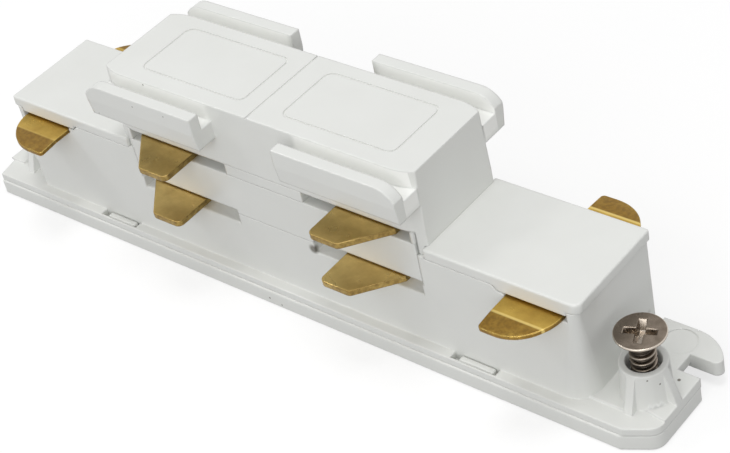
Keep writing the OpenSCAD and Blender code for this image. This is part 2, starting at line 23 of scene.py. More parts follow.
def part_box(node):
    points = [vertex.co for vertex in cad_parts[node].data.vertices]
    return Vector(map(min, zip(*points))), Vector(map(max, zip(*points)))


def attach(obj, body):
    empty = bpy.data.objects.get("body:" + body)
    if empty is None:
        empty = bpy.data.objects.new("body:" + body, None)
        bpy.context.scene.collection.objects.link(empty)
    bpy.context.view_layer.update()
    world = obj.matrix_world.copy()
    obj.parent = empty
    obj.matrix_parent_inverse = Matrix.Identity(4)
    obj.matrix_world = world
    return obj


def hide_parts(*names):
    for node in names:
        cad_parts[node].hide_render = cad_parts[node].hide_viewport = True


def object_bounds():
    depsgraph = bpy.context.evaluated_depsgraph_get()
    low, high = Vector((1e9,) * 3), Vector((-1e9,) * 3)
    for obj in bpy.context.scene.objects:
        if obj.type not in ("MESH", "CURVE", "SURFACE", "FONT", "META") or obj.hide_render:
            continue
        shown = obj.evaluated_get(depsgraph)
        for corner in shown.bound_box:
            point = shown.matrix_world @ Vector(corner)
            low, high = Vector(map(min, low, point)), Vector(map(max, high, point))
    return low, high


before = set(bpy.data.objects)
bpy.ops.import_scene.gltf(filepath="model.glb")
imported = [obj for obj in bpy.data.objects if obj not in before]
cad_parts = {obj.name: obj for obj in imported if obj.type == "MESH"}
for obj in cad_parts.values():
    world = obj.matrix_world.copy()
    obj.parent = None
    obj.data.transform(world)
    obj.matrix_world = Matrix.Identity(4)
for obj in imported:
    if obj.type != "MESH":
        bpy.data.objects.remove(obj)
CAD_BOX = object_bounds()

LOG = logging.getLogger("track_connector")
MM = 0.001
PART_TOP = CAD_BOX[1][2]
Colour = tuple[float, float, float]
Place = tuple[float, float, float]
Socket = bpy.types.NodeSocket

# Socket types of the node groups
FLOAT = "NodeSocketFloat"
VECTOR = "NodeSocketVector"

# Mesh attributes that the materials read
CUT_SIDE = "cut_side"
# Painted highlight on the screws where the value is above 0, painted shade where it is below
PAINTED_SCREW_LIGHT = "painted_light"


class Slot(Enum):
    """Material slots of the record."""

    PLASTIC = "white_plastic"
    BRASS = "brass"
    STEEL = "screw_steel"


class Body(Enum):
    """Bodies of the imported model."""

    HOUSING = "housing"
    LEFT_SCREW = "left_screw"
    RIGHT_SCREW = "right_screw"


class Graph:
    """A node tree with short ways to add nodes and to link them."""

    def __init__(self, tree: bpy.types.NodeTree) -> None:
        """Wraps a tree, which is emptied first.

        Args:
            tree: the node tree of a material, a world or a group.
        """
        self.tree = tree
        self.tree.nodes.clear()

    def add(self, kind: str, inputs: dict[Any, Any] | None = None, **settings: Any) -> bpy.types.Node:
        """Adds one node.

        Args:
            kind: the node's Blender type.
            inputs: a value or a socket for inputs, by name or number; a socket is linked.
            settings: properties of the node itself.

        Returns:
            The new node.
        """
        node = self.tree.nodes.new(kind)
        for name, value in settings.items():
            setattr(node, name, value)
        for name, value in (inputs or {}).items():
            if isinstance(value, Socket):
                self.tree.links.new(value, node.inputs[name])
            else:
                node.inputs[name].default_value = value
        return node

    def group(self, tree: bpy.types.NodeTree, inputs: dict[str, Any]) -> bpy.types.Node:
        """Places a node group with its own values.

        Args:
            tree: the group's tree.
            inputs: values or sockets for the group's inputs.

        Returns:
            The group node.
        """
        return self.add("ShaderNodeGroup", inputs, node_tree=tree)

    def math(self, operation: str, *values: Any, clamp: bool = False) -> Socket:
        """Adds a Math node.

        Args:
            operation: the Math node's operation.
            values: its inputs in order, as numbers or sockets.
            clamp: whether the result is held between 0 and 1.

        Returns:
            The socket with the result.
        """
        node = self.add("ShaderNodeMath", dict(enumerate(values)), operation=operation, use_clamp=clamp)
        return node.outputs[0]

    def product(self, *values: Any) -> Socket:
        """Multiplies values.

        Args:
            values: two or more numbers or sockets.

        Returns:
            The socket with the result.
        """
        return reduce(lambda first, second: self.math("MULTIPLY", first, second), values)

    def highest(self, *values: Any) -> Socket:
        """Takes the highest of some values.

        Args:
            values: two or more numbers or sockets.

        Returns:
            The socket with the result.
        """
        return reduce(lambda first, second: self.math("MAXIMUM", first, second), values)

    def ramp(self, value: Socket, low: float, high: float) -> Socket:
        """Maps a value smoothly from 0 at low to 1 at high.

        Args:
            value: the socket to map.
            low: where the result is 0.
            high: where the result is 1.

        Returns:
            The socket with the result.
        """
        node = self.add("ShaderNodeMapRange", {"Value": value, "From Min": low, "From Max": high},
                        interpolation_type="SMOOTHSTEP")
        return node.outputs["Result"]

    def between(self, share: Socket, at_zero: Any, at_one: Any) -> Socket:
        """Turns a share from 0 to 1 into a value between two others.

        Args:
            share: the socket with the share.
            at_zero: the value at 0, a number or a socket.
            at_one: the value at 1, a number or a socket.

        Returns:
            The socket with the result.
        """
        node = self.add("ShaderNodeMapRange", {"Value": share, "To Min": at_zero, "To Max": at_one})
        return node.outputs["Result"]

    def mix(self, share: Any, first: Any, second: Any) -> Socket:
        """Mixes two colours.

        Args:
            share: share of the second colour, a number or a socket.
            first: a colour or a socket.
            second: a colour or a socket.

        Returns:
            The socket with the mixed colour.
        """
        ends = [colour if isinstance(colour, Socket) else (*colour, 1.0) for colour in (first, second)]
        return self.add("ShaderNodeMix", {0: share, 6: ends[0], 7: ends[1]}, data_type="RGBA").outputs[2]

    def surface(self, inputs: dict[str, Any]) -> None:
        """Ends a material with its Principled shader.

        Args:
            inputs: values or sockets for the shader's inputs.
        """
        shader = self.add("ShaderNodeBsdfPrincipled", inputs)
        self.add("ShaderNodeOutputMaterial", {"Surface": shader.outputs[0]})


def new_material(name: str) -> tuple[bpy.types.Material, Graph]:
    """Starts a material.

    Args:
        name: the material's name.

    Returns:
        The material and its empty graph.
    """
    made = bpy.data.materials.new(name)
    made.use_nodes = True
    return made, Graph(made.node_tree)


def new_group(name: str, inputs: dict[str, str], outputs: dict[str, str]) -> tuple[Graph, Any]:
    """Starts a shader node group.

    Args:
        name: the group's name.
        inputs: socket type for each input's name.
        outputs: socket type for each output's name.

    Returns:
        The group's graph and the sockets that give its inputs.
    """
    tree = bpy.data.node_groups.new(name, "ShaderNodeTree")
    for label, kind in inputs.items():
        tree.interface.new_socket(label, in_out="INPUT", socket_type=kind)
    for label, kind in outputs.items():
        tree.interface.new_socket(label, in_out="OUTPUT", socket_type=kind)
    graph = Graph(tree)
    return graph, graph.add("NodeGroupInput").outputs


def new_object(name: str, data: bpy.types.ID) -> bpy.types.Object:
    """Makes an object and puts it in the scene.

    Args:
        name: the object's name.
        data: its mesh, lamp or camera.

    Returns:
        The object.
    """
    made = bpy.data.objects.new(name, data)
    bpy.context.scene.collection.objects.link(made)
    return made


@dataclass
class Effects:
    """The shader node groups of the finishes, built once."""

    cloud_detail: float = 3.0
    cloud_roughness: float = 0.55
    streak_detail: float = 2.0
    speck_edge: tuple[float, float] = (0.16, 0.05)
    spot_edge: float = 0.45
    rim_samples: int = 6
    rim_turn: tuple[float, float] = (0.004, 0.10)
    cloud: bpy.types.NodeTree = field(init=False)
    streaks: bpy.types.NodeTree = field(init=False)
    specks: bpy.types.NodeTree = field(init=False)
    spot: bpy.types.NodeTree = field(init=False)
    rim: bpy.types.NodeTree = field(init=False)

    def __post_init__(self) -> None:
        """Builds the groups."""
        self.cloud = self._cloud()
        self.streaks = self._streaks()
        self.specks = self._specks()
        self.spot = self._spot()
        self.rim = self._rim()

    def _cloud(self) -> bpy.types.NodeTree:
        """Builds soft cloudy patches of a given size.

        Returns:
            A group that turns a place, a patch size and a contrast into a value from 0 to 1.
        """
        graph, given = new_group("soft_cloud", {"Place": VECTOR, "Patch Size": FLOAT, "Contrast": FLOAT},
                                 {"Value": FLOAT})
        scale = graph.math("DIVIDE", 1.0, given["Patch Size"])
        noise = graph.add("ShaderNodeTexNoise", {"Vector": given["Place"], "Scale": scale,
                                                 "Detail": self.cloud_detail,
                                                 "Roughness": self.cloud_roughness})
        centred = graph.math("SUBTRACT", noise.outputs[0], 0.5)
        spread = graph.product(centred, given["Contrast"])
        graph.add("NodeGroupOutput", {"Value": graph.math("ADD", spread, 0.5, clamp=True)})
        return graph.tree

    def _streaks(self) -> bpy.types.NodeTree:
        """Builds fine lines along X, as rolling and polishing leave them.

        Returns:
            A group that turns a place, a line width and a length ratio into a value from 0 to 1.
        """
        graph, given = new_group("rolled_streaks", {"Place": VECTOR, "Line Width": FLOAT, "Ratio": FLOAT},
                                 {"Value": FLOAT})
        along = graph.math("DIVIDE", 1.0, given["Ratio"])
        stretch = graph.add("ShaderNodeCombineXYZ", {"X": along, "Y": 1.0, "Z": 1.0})
        place = graph.add("ShaderNodeVectorMath", {0: given["Place"], 1: stretch.outputs[0]},
                          operation="MULTIPLY")
        scale = graph.math("DIVIDE", 1.0, given["Line Width"])
        noise = graph.add("ShaderNodeTexNoise", {"Vector": place.outputs[0], "Scale": scale,
                                                 "Detail": self.streak_detail})
        graph.add("NodeGroupOutput", {"Value": noise.outputs[0]})
        return graph.tree

    def _specks(self) -> bpy.types.NodeTree:
        """Builds scattered dust: a few cells of a cell pattern each hold one small round speck.

        Returns:
            A group that turns a place, a cell size and a share of cells into a mask.
        """
        graph, given = new_group("dust_specks", {"Place": VECTOR, "Cell Size": FLOAT, "Share": FLOAT},
                                 {"Mask": FLOAT})
        scale = graph.math("DIVIDE", 1.0, given["Cell Size"])
        cells = graph.add("ShaderNodeTexVoronoi", {"Vector": given["Place"], "Scale": scale})
        near = graph.ramp(cells.outputs["Distance"], *self.speck_edge)
        pick = graph.add("ShaderNodeSeparateColor", {"Color": cells.outputs["Color"]})
        chosen = graph.math("LESS_THAN", pick.outputs[0], given["Share"])
        graph.add("NodeGroupOutput", {"Mask": graph.product(near, chosen)})
        return graph.tree

    def _spot(self) -> bpy.types.NodeTree:
        """Builds one soft round spot and adds it to the spots before it.

        Returns:
            A group that turns a place, a centre, a radius and the mask so far into a mask.
        """
        graph, given = new_group("dirt_spot", {"Place": VECTOR, "Centre": VECTOR, "Radius": FLOAT,
                                               "Before": FLOAT}, {"Mask": FLOAT})
        gap = graph.add("ShaderNodeVectorMath", {0: given["Place"], 1: given["Centre"]},
                        operation="DISTANCE")
        share = graph.math("DIVIDE", gap.outputs["Value"], given["Radius"])
        inside = graph.ramp(graph.math("SUBTRACT", 1.0, share), 0.0, self.spot_edge)
        graph.add("NodeGroupOutput", {"Mask": graph.highest(inside, given["Before"])})
        return graph.tree

    def _rim(self) -> bpy.types.NodeTree:
        """Builds a rounded edge: normals that turn over the edge, and where they do so.

        Returns:
            A group that turns a radius into a normal and a mask that is 1 on the rounded edge.
        """
        graph, given = new_group("rounded_edge", {"Radius": FLOAT}, {"Normal": VECTOR, "Mask": FLOAT})
        bevel = graph.add("ShaderNodeBevel", {"Radius": given["Radius"]}, samples=self.rim_samples)
        own = graph.add("ShaderNodeNewGeometry")
        agree = graph.add("ShaderNodeVectorMath", {0: bevel.outputs["Normal"], 1: own.outputs["Normal"]},
                          operation="DOT_PRODUCT")
        turned = graph.ramp(graph.math("SUBTRACT", 1.0, agree.outputs["Value"]), *self.rim_turn)
        graph.add("NodeGroupOutput", {"Normal": bevel.outputs["Normal"], "Mask": turned})
        return graph.tree


@dataclass(frozen=True)
class CoverZones:
    """Zones of the top cover that look different from the rest of the plastic; painted light makes the
    grooves and the wing channels paler.

    Depths are taken from the top of the part, which is the top of the cover.
    """

    panels_half: tuple[float, float] = (20.5 * MM, 5.8 * MM)
    panel_depth: float = 0.25 * MM
    groove_depth: float = 0.03 * MM
    channel_half_x: float = 6.3 * MM
    channel_y: tuple[float, float] = (6.2 * MM, 8.53 * MM)
    channel_floor: float = 5.2 * MM
    channel_rim: float = 0.15 * MM
    fade_along: float = 1.0 * MM
    fade_up: float = 1.5 * MM

    def panels(self, graph: Graph, part: bpy.types.Node) -> tuple[Socket, Socket]:
        """Finds the label panels and the grooves that frame them.

        Args:
            graph: the material's graph.
            part: the node with the place's X, Y and Z.

        Returns:
            The sockets with the mask of the panels and with that of the grooves.
        """
        inside = [graph.math("LESS_THAN", graph.math("ABSOLUTE", part.outputs[axis]), half)
                  for axis, half in zip("XY", self.panels_half)]
        high = graph.math("GREATER_THAN", part.outputs["Z"], PART_TOP - self.panel_depth)
        panel = graph.product(high, *inside)
        sunk = graph.math("LESS_THAN", part.outputs["Z"], PART_TOP - self.groove_depth)
        return panel, graph.product(panel, sunk)

    def channels(self, graph: Graph, part: bpy.types.Node) -> Socket:
        """Finds the channels behind the wings, which painted light makes paler, standing for light bounced
        into them.

        Args:
            graph: the material's graph.
            part: the node with the place's X, Y and Z.

        Returns:
            The socket with the mask.
        """
        floor = PART_TOP - self.channel_floor
        rim = PART_TOP - self.channel_rim
        along = graph.math("ABSOLUTE", part.outputs["X"])
        out = graph.math("ABSOLUTE", part.outputs["Y"])
        up = part.outputs["Z"]
        return graph.product(graph.ramp(along, self.channel_half_x, self.channel_half_x + self.fade_along),
                             graph.math("GREATER_THAN", out, self.channel_y[0]),
                             graph.math("LESS_THAN", out, self.channel_y[1]),
                             graph.ramp(up, floor, floor + self.fade_up),
                             graph.math("LESS_THAN", up, rim))


@dataclass(frozen=True)
class PlasticFinish:
    """Satin white moulded plastic with a fine grain, faint mottling and a little dust; a painted highlight
    lies along its edges, and painted light makes its label grooves and wing channels paler.
    """

    name: str = "satin_white_plastic"
    colour: Colour = (0.775, 0.785, 0.760)
    shaded: Colour = (0.735, 0.742, 0.715)
    dust: Colour = (0.13, 0.115, 0.09)
    # Painted highlight on the rounded edges, also the paler colour of the label grooves and wing channels
    # as painted light
    rim: Colour = (0.92, 0.925, 0.90)
    roughness: tuple[float, float] = (0.30, 0.42)
    rim_roughness: float = 0.14
    refraction: float = 1.49
    mottle_size: float = 9 * MM
    mottle_contrast: float = 1.6
    grain_size: float = 0.16 * MM
    grain_contrast: float = 1.5
    grain_depth: float = 0.004 * MM
    grain_strength: float = 0.6
    edge_radius: float = 0.34 * MM
    # Shares of the painted highlight on the edges and of the painted light in the label grooves
    edge_share: float = 0.85
    groove_radius: float = 0.04 * MM
    groove_share: float = 0.4
    dust_cell: float = 5.5 * MM
    dust_share: float = 0.05
    dust_cover: float = 0.9
    # Specks seen in the photo: x, y, z and radius in millimetres
    spots: tuple[tuple[float, float, float, float], ...] = (
        (50.1, 0.75, 3.45, 0.25),  # flange, beside the right boss
        (50.5, -3.25, 6.55, 0.15),  # right boss
        (49.65, -4.3, 7.55, 0.13),
        (-2.8, -8.5, 0.95, 0.17),  # front edge of the base
        (-0.9, -8.5, 0.55, 0.13),
        (-17.05, -6.65, 27.85, 0.14),  # left front wing and its channel
        (-15.85, -10.0, 27.25, 0.11),
        (-23.1, -9.75, 23.85, 0.10),
        (-10.65, -10.0, 27.45, 0.11))

    def build(self, effects: Effects) -> bpy.types.Material:
        """Makes the material.

        Args:
            effects: the shader node groups.

        Returns:
            The material.
        """
        made, graph = new_material(self.name)
        place = graph.add("ShaderNodeTexCoord").outputs["Object"]
        part = graph.add("ShaderNodeSeparateXYZ", {"Vector": place})
        mottle = graph.group(effects.cloud, {"Place": place, "Patch Size": self.mottle_size,
                                             "Contrast": self.mottle_contrast}).outputs["Value"]
        grain = graph.group(effects.cloud, {"Place": place, "Patch Size": self.grain_size,
                                            "Contrast": self.grain_contrast}).outputs["Value"]
        zones = CoverZones()
        panel, groove = zones.panels(graph, part)
        radius = graph.between(panel, self.edge_radius, self.groove_radius)
        edge = graph.group(effects.rim, {"Radius": radius})
        edge_share = graph.between(panel, self.edge_share, 0.0)
        # Painted light: paler grooves and wing channels, and a painted highlight along the rounded edges,
        # which also lightens concave corners
        pale = graph.highest(graph.product(groove, self.groove_share), zones.channels(graph, part),
                             graph.product(edge.outputs["Mask"], edge_share))
        clean = graph.mix(pale, graph.mix(mottle, self.shaded, self.colour), self.rim)
        dirt = graph.product(self._dirt(graph, effects, place), self.dust_cover)
        roughness = graph.between(edge.outputs["Mask"], graph.between(mottle, *self.roughness),
                                  self.rim_roughness)
        bump = graph.add("ShaderNodeBump", {"Strength": self.grain_strength, "Distance": self.grain_depth,
                                            "Height": grain, "Normal": edge.outputs["Normal"]})
        graph.surface({"Base Color": graph.mix(dirt, clean, self.dust), "Roughness": roughness,
                       "Normal": bump.outputs["Normal"], "IOR": self.refraction})
        return made

    def _dirt(self, graph: Graph, effects: Effects, place: Socket) -> Socket:
        """Adds the specks seen in the photo to dust that is scattered by chance.

        Args:
            graph: the material's graph.
            effects: the shader node groups.
            place: the socket with the place.

        Returns:
            The socket with the mask.
        """
        mask = graph.group(effects.specks, {"Place": place, "Cell Size": self.dust_cell,
                                            "Share": self.dust_share}).outputs["Mask"]
        for *centre, radius in self.spots:
            mask = graph.group(effects.spot, {"Place": place, "Centre": [MM * value for value in centre],
                                              "Radius": MM * radius, "Before": mask}).outputs["Mask"]
        return mask


@dataclass(frozen=True)
class BrassFinish:
    """Rolled brass strip: golden where it is clean, brown where it has tarnished; its rim colour is painted
    along its edges, as painted shade when dark and a painted highlight when bright.
    """

    name: str
    colour: Colour
    tarnish: Colour
    # Painted along the edges and the crease: painted shade in this dark default, a painted highlight when
    # bright
    rim: Colour = (0.13, 0.075, 0.025)
    torn: Colour = (0.13, 0.075, 0.025)
    roughness: tuple[float, float] = (0.24, 0.46)
    edge_radius: float = 0.2 * MM
    edge_share: float = 0.7
    side_share: float = 0.75
    tip_from: float = 9.5 * MM
    tip_fade: float = 0.15 * MM
    tip_share: float = 0.7
    # Reach and share of the crease's painted highlight, fainter towards the left
    crease_reach: tuple[float, float] = (0.24 * MM, 0.08 * MM)
    crease_share: tuple[float, float] = (0.15, 0.85)
    blend_half: float = 1 * MM
    patch_size: float = 2.2 * MM
    patch_contrast: float = 2.4
    patch_share: float = 0.55
    line_width: float = 0.09 * MM
    line_ratio: float = 14.0
    line_share: float = 0.25
    line_depth: float = 0.004 * MM
    line_strength: float = 0.5
    grit_size: float = 0.5 * MM
    grit_contrast: float = 4.0
    grit_share: float = 0.6

    def build(self, effects: Effects) -> bpy.types.Material:
        """Makes the material: tarnish lies in patches, cut sides and tips past a crease are darker brown,
        and the rim colour is painted along the edges and the crease, as painted shade when dark and a
        painted highlight when bright.

        Args:
            effects: the shader node groups.

        Returns:
            The material.
        """
        made, graph = new_material(self.name)
        place = graph.add("ShaderNodeTexCoord").outputs["Object"]
        patches = graph.group(effects.cloud, {"Place": place, "Patch Size": self.patch_size,
                                              "Contrast": self.patch_contrast}).outputs["Value"]
        lines = graph.group(effects.streaks, {"Place": place, "Line Width": self.line_width,
                                              "Ratio": self.line_ratio}).outputs["Value"]
        grit = graph.group(effects.cloud, {"Place": place, "Patch Size": self.grit_size,
                                           "Contrast": self.grit_contrast}).outputs["Value"]
        edge = graph.group(effects.rim, {"Radius": self.edge_radius})
        side = graph.add("ShaderNodeAttribute", attribute_name=CUT_SIDE).outputs["Fac"]
        tip, crease = self._tip(graph, place)
        # Cut sides and tips past the crease are darker brown
        sides_and_tips = graph.highest(tip, graph.product(side, self.side_share))
        tarnished = graph.math("ADD", graph.product(patches, self.patch_share), sides_and_tips, clamp=True)
        patched = graph.mix(tarnished, self.colour, self.tarnish)
        lined = graph.mix(graph.product(lines, self.line_share), patched, self.tarnish)
        torn = graph.product(graph.highest(side, tip), grit, self.grit_share)
        # Rim colour painted along the edges and the crease: painted shade when dark, a painted highlight
        # when bright
        rim = graph.highest(graph.product(edge.outputs["Mask"], self.edge_share), crease)
        bump = graph.add("ShaderNodeBump", {"Strength": self.line_strength, "Distance": self.line_depth,
                                            "Height": lines, "Normal": edge.outputs["Normal"]})
        graph.surface({"Base Color": graph.mix(rim, graph.mix(torn, lined, self.torn), self.rim),
                       "Metallic": 1.0, "Roughness": graph.between(patches, *self.roughness),
                       "Normal": bump.outputs["Normal"]})
        return made

    def _tip(self, graph: Graph, place: Socket) -> tuple[Socket, Socket]:
        """Finds the tips of the tabs and the crease that they start from, where the rim colour paints a
        highlight, fainter on the left tabs.

        Args:
            graph: the material's graph.
            place: the socket with the place.

        Returns:
            The sockets with the mask of the tips and with that of the crease.
        """
        part = graph.add("ShaderNodeSeparateXYZ", {"Vector": place})
        out = graph.math("ABSOLUTE", part.outputs["Y"])
        tip = graph.product(graph.ramp(out, self.tip_from, self.tip_from + self.tip_fade), self.tip_share)
        off = graph.math("ABSOLUTE", graph.math("SUBTRACT", out, self.tip_from))
        here = graph.add("ShaderNodeMapRange", {"Value": part.outputs["X"], "From Min": -self.blend_half,
                                                "From Max": self.blend_half,
                                                "To Min": self.crease_share[0],
                                                "To Max": self.crease_share[1]}).outputs["Result"]
        crease = graph.product(graph.ramp(off, *self.crease_reach), here, self.tip_share)
        return tip, crease


@dataclass(frozen=True)
class ScrewFinish:
    """Dark nickel plate, with a painted highlight on the rim, in the recess and on the thread crests, and
    painted shade on the cone and between the threads.
    """

    name: str = "dark_nickel"
    colour: Colour = (0.26, 0.215, 0.175)
    dull: Colour = (0.16, 0.13, 0.10)
    # Painted highlight colour, and the painted shade colour below it
    bright: Colour = (0.58, 0.52, 0.45)
    painted_shade: Colour = (0.035, 0.03, 0.026)
    roughness: tuple[float, float] = (0.20, 0.38)
    patch_size: float = 1.1 * MM
    patch_contrast: float = 2.2
    pit_size: float = 0.12 * MM
    pit_contrast: float = 1.6
    pit_depth: float = 0.006 * MM
    pit_strength: float = 0.5

    def build(self, effects: Effects) -> bpy.types.Material:
        """Makes the material, where the mesh value paints a highlight above 0 and shade below 0.

        Args:
            effects: the shader node groups.

        Returns:
            The material.
        """
        made, graph = new_material(self.name)
        place = graph.add("ShaderNodeTexCoord").outputs["Object"]
        patches = graph.group(effects.cloud, {"Place": place, "Patch Size": self.patch_size,
                                              "Contrast": self.patch_contrast}).outputs["Value"]
        pits = graph.group(effects.cloud, {"Place": place, "Patch Size": self.pit_size,
                                           "Contrast": self.pit_contrast}).outputs["Value"]
        painted_light = graph.add("ShaderNodeAttribute", attribute_name=PAINTED_SCREW_LIGHT).outputs["Fac"]
        plated = graph.mix(patches, self.colour, self.dull)
        # Painted highlight above 0 and painted shade below 0
        colour = graph.mix(painted_light, graph.mix(graph.product(painted_light, -1.0), plated, self.painted_shade), self.bright)
        bump = graph.add("ShaderNodeBump", {"Strength": self.pit_strength, "Distance": self.pit_depth,
                                            "Height": pits})
        graph.surface({"Base Color": colour, "Metallic": 1.0,
                       "Roughness": graph.between(patches, *self.roughness),
                       "Normal": bump.outputs["Normal"]})
        return made


@dataclass(frozen=True)
class EdgeBreak:
    """How a CAD solid is copied and its sharp edges are broken; a width of 0 leaves them sharp."""

    width: float
    segments: int = 2
    broken_from: float = math.radians(30)
    sharp_from: float = math.radians(14)
    flat_within: float = math.radians(0.5)
    weld: float = 0.002 * MM
    upright_below: float = 0.5
    face_weight: int = 80

    def dress(self, node: str, piece_name: str, finish: bpy.types.Material) -> bpy.types.Object:
        """Lets a welded copy of a CAD solid, with its edges broken, stand for the solid.

        Args:
            node: the CAD node that is copied.
            piece_name: name of the new piece.
            finish: its material.

        Returns:
            The new piece, riding on the housing.
        """
        mesh = self._welded(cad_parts[node].data, piece_name)
        mesh.materials.append(finish)
        piece = new_object(piece_name, mesh)
        if self.width > 0:
            bevel = piece.modifiers.new("broken_edges", "BEVEL")
            bevel.width = self.width
            bevel.segments = self.segments
            bevel.limit_method = "ANGLE"
            bevel.angle_limit = self.broken_from
            bevel.use_clamp_overlap = True
            bevel.harden_normals = False
        else:
            mesh.set_sharp_from_angle(angle=self.sharp_from)
        shading = piece.modifiers.new("flat_faces", "WEIGHTED_NORMAL")
        shading.keep_sharp = True
        shading.weight = self.face_weight
        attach(piece, Body.HOUSING.value)
        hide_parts(node)
        LOG.info("%s: %d faces in the welded copy", piece_name, len(mesh.polygons))
        return piece

    def _welded(self, solid: bpy.types.Mesh, name: str) -> bpy.types.Mesh:
        """Copies a mesh with its seams welded and its flat faces joined, and marks its upright faces.

        Args:
            solid: the mesh of the CAD solid.
            name: name of the copy.

        Returns:
            The copy, with smooth faces.
        """
        shape = bmesh.new()
        shape.from_mesh(solid)
        bmesh.ops.remove_doubles(shape, verts=shape.verts, dist=self.weld)
        bmesh.ops.dissolve_degenerate(shape, edges=shape.edges, dist=self.weld)
        bmesh.ops.dissolve_limit(shape, angle_limit=self.flat_within, verts=shape.verts, edges=shape.edges)
        mesh = bpy.data.meshes.new(name)
        shape.to_mesh(mesh)
        shape.free()
        mesh.polygons.foreach_set("use_smooth", np.ones(len(mesh.polygons), bool))
        facing = np.empty(3 * len(mesh.polygons), np.float32)
        mesh.polygons.foreach_get("normal", facing)
        upright = np.abs(facing.reshape(-1, 3)[:, 2]) < self.upright_below
        mesh.attributes.new(CUT_SIDE, "FLOAT", "FACE").data.foreach_set("value", upright.astype(np.float32))
        return mesh


@dataclass(frozen=True)
class Mouldings:
    """The seven white plastic pieces, each with its name and the width of its broken edges.

    The three with a width of 0 have edges too short for a break in the mesh.
    """

    edges: dict[str, tuple[str, float]] = field(default_factory=lambda: {
        "base_plate": ("bottom_plate_moulding", 0.20 * MM),
        "main_housing": ("housing_moulding", 0.0),
        "left_end_lid": ("left_lid_moulding", 0.20 * MM),
        "right_end_lid": ("right_lid_moulding", 0.20 * MM),
        "middle_housing": ("middle_moulding", 0.14 * MM),
        "contact_carrier": ("carrier_moulding", 0.0),
        "top_cover": ("cover_moulding", 0.0),
    })

    def build(self, finish: bpy.types.Material) -> None:
        """Makes every moulding.

        Args:
            finish: the plastic material.
        """
        for node, (piece_name, width) in self.edges.items():
            EdgeBreak(width).dress(node, piece_name, finish)


@dataclass(frozen=True)
class Contacts:
    """The four line strips and the earth strip."""

    lines: dict[str, str] = field(default_factory=lambda: {
        "lower_front_contact": "lower_front_strip",
        "lower_back_contact": "lower_back_strip",
        "upper_front_contact": "upper_front_strip",
        "upper_back_contact": "upper_back_strip",
    })
    edge: float = 0.08 * MM

    def build(self, line_finish: bpy.types.Material, earth_finish: bpy.types.Material) -> None:
        """Makes every strip.

        Args:
            line_finish: material of the line strips.
            earth_finish: material of the earth strip.
        """
        for node, piece_name in self.lines.items():
            EdgeBreak(self.edge).dress(node, piece_name, line_finish)
        EdgeBreak(self.edge).dress("earth_strip", "earth_strip_brass", earth_finish)


def smooth_step(value: np.ndarray) -> np.ndarray:
    """Turns 0 to 1 into 0 to 1 with level ends, and holds it outside.

    Args:
        value: any numbers.

    Returns:
        3 t^2 - 2 t^3 of the value held between 0 and 1.
    """
    held = np.clip(value, 0.0, 1.0)
    return held * held * (3 - 2 * held)


def grid_mesh(name: str, places: np.ndarray) -> bpy.types.Mesh:
    """Makes a closed mesh from a grid of rings whose first and last ring are each one point.

    Args:
        name: the mesh's name.
        places: points, as rings by columns by 3. Columns run round and close on themselves.

    Returns:
        A mesh of quads, with a fan of triangles at each end.
    """
    rings, columns = places.shape[:2]
    inner = places[1:-1].reshape(-1, 3)
    points = np.vstack([places[:1, 0], inner, places[-1:, 0]])
    index = 1 + np.arange((rings - 2) * columns).reshape(rings - 2, columns)
    turned = np.roll(index, -1, axis=1)
    quads = np.stack([index[:-1], index[1:], turned[1:], turned[:-1]], axis=-1).reshape(-1, 4)
    first = np.stack([np.zeros(columns, int), index[0], turned[0]], axis=-1)
    last = np.stack([np.full(columns, len(points) - 1), turned[-1], index[-1]], axis=-1)
    mesh = bpy.data.meshes.new(name)
    mesh.from_pydata(points.tolist(), [], [*first.tolist(), *quads.tolist(), *last.tolist()])
    mesh.polygons.foreach_set("use_smooth", np.ones(len(mesh.polygons), bool))
    mesh.update()
    return mesh


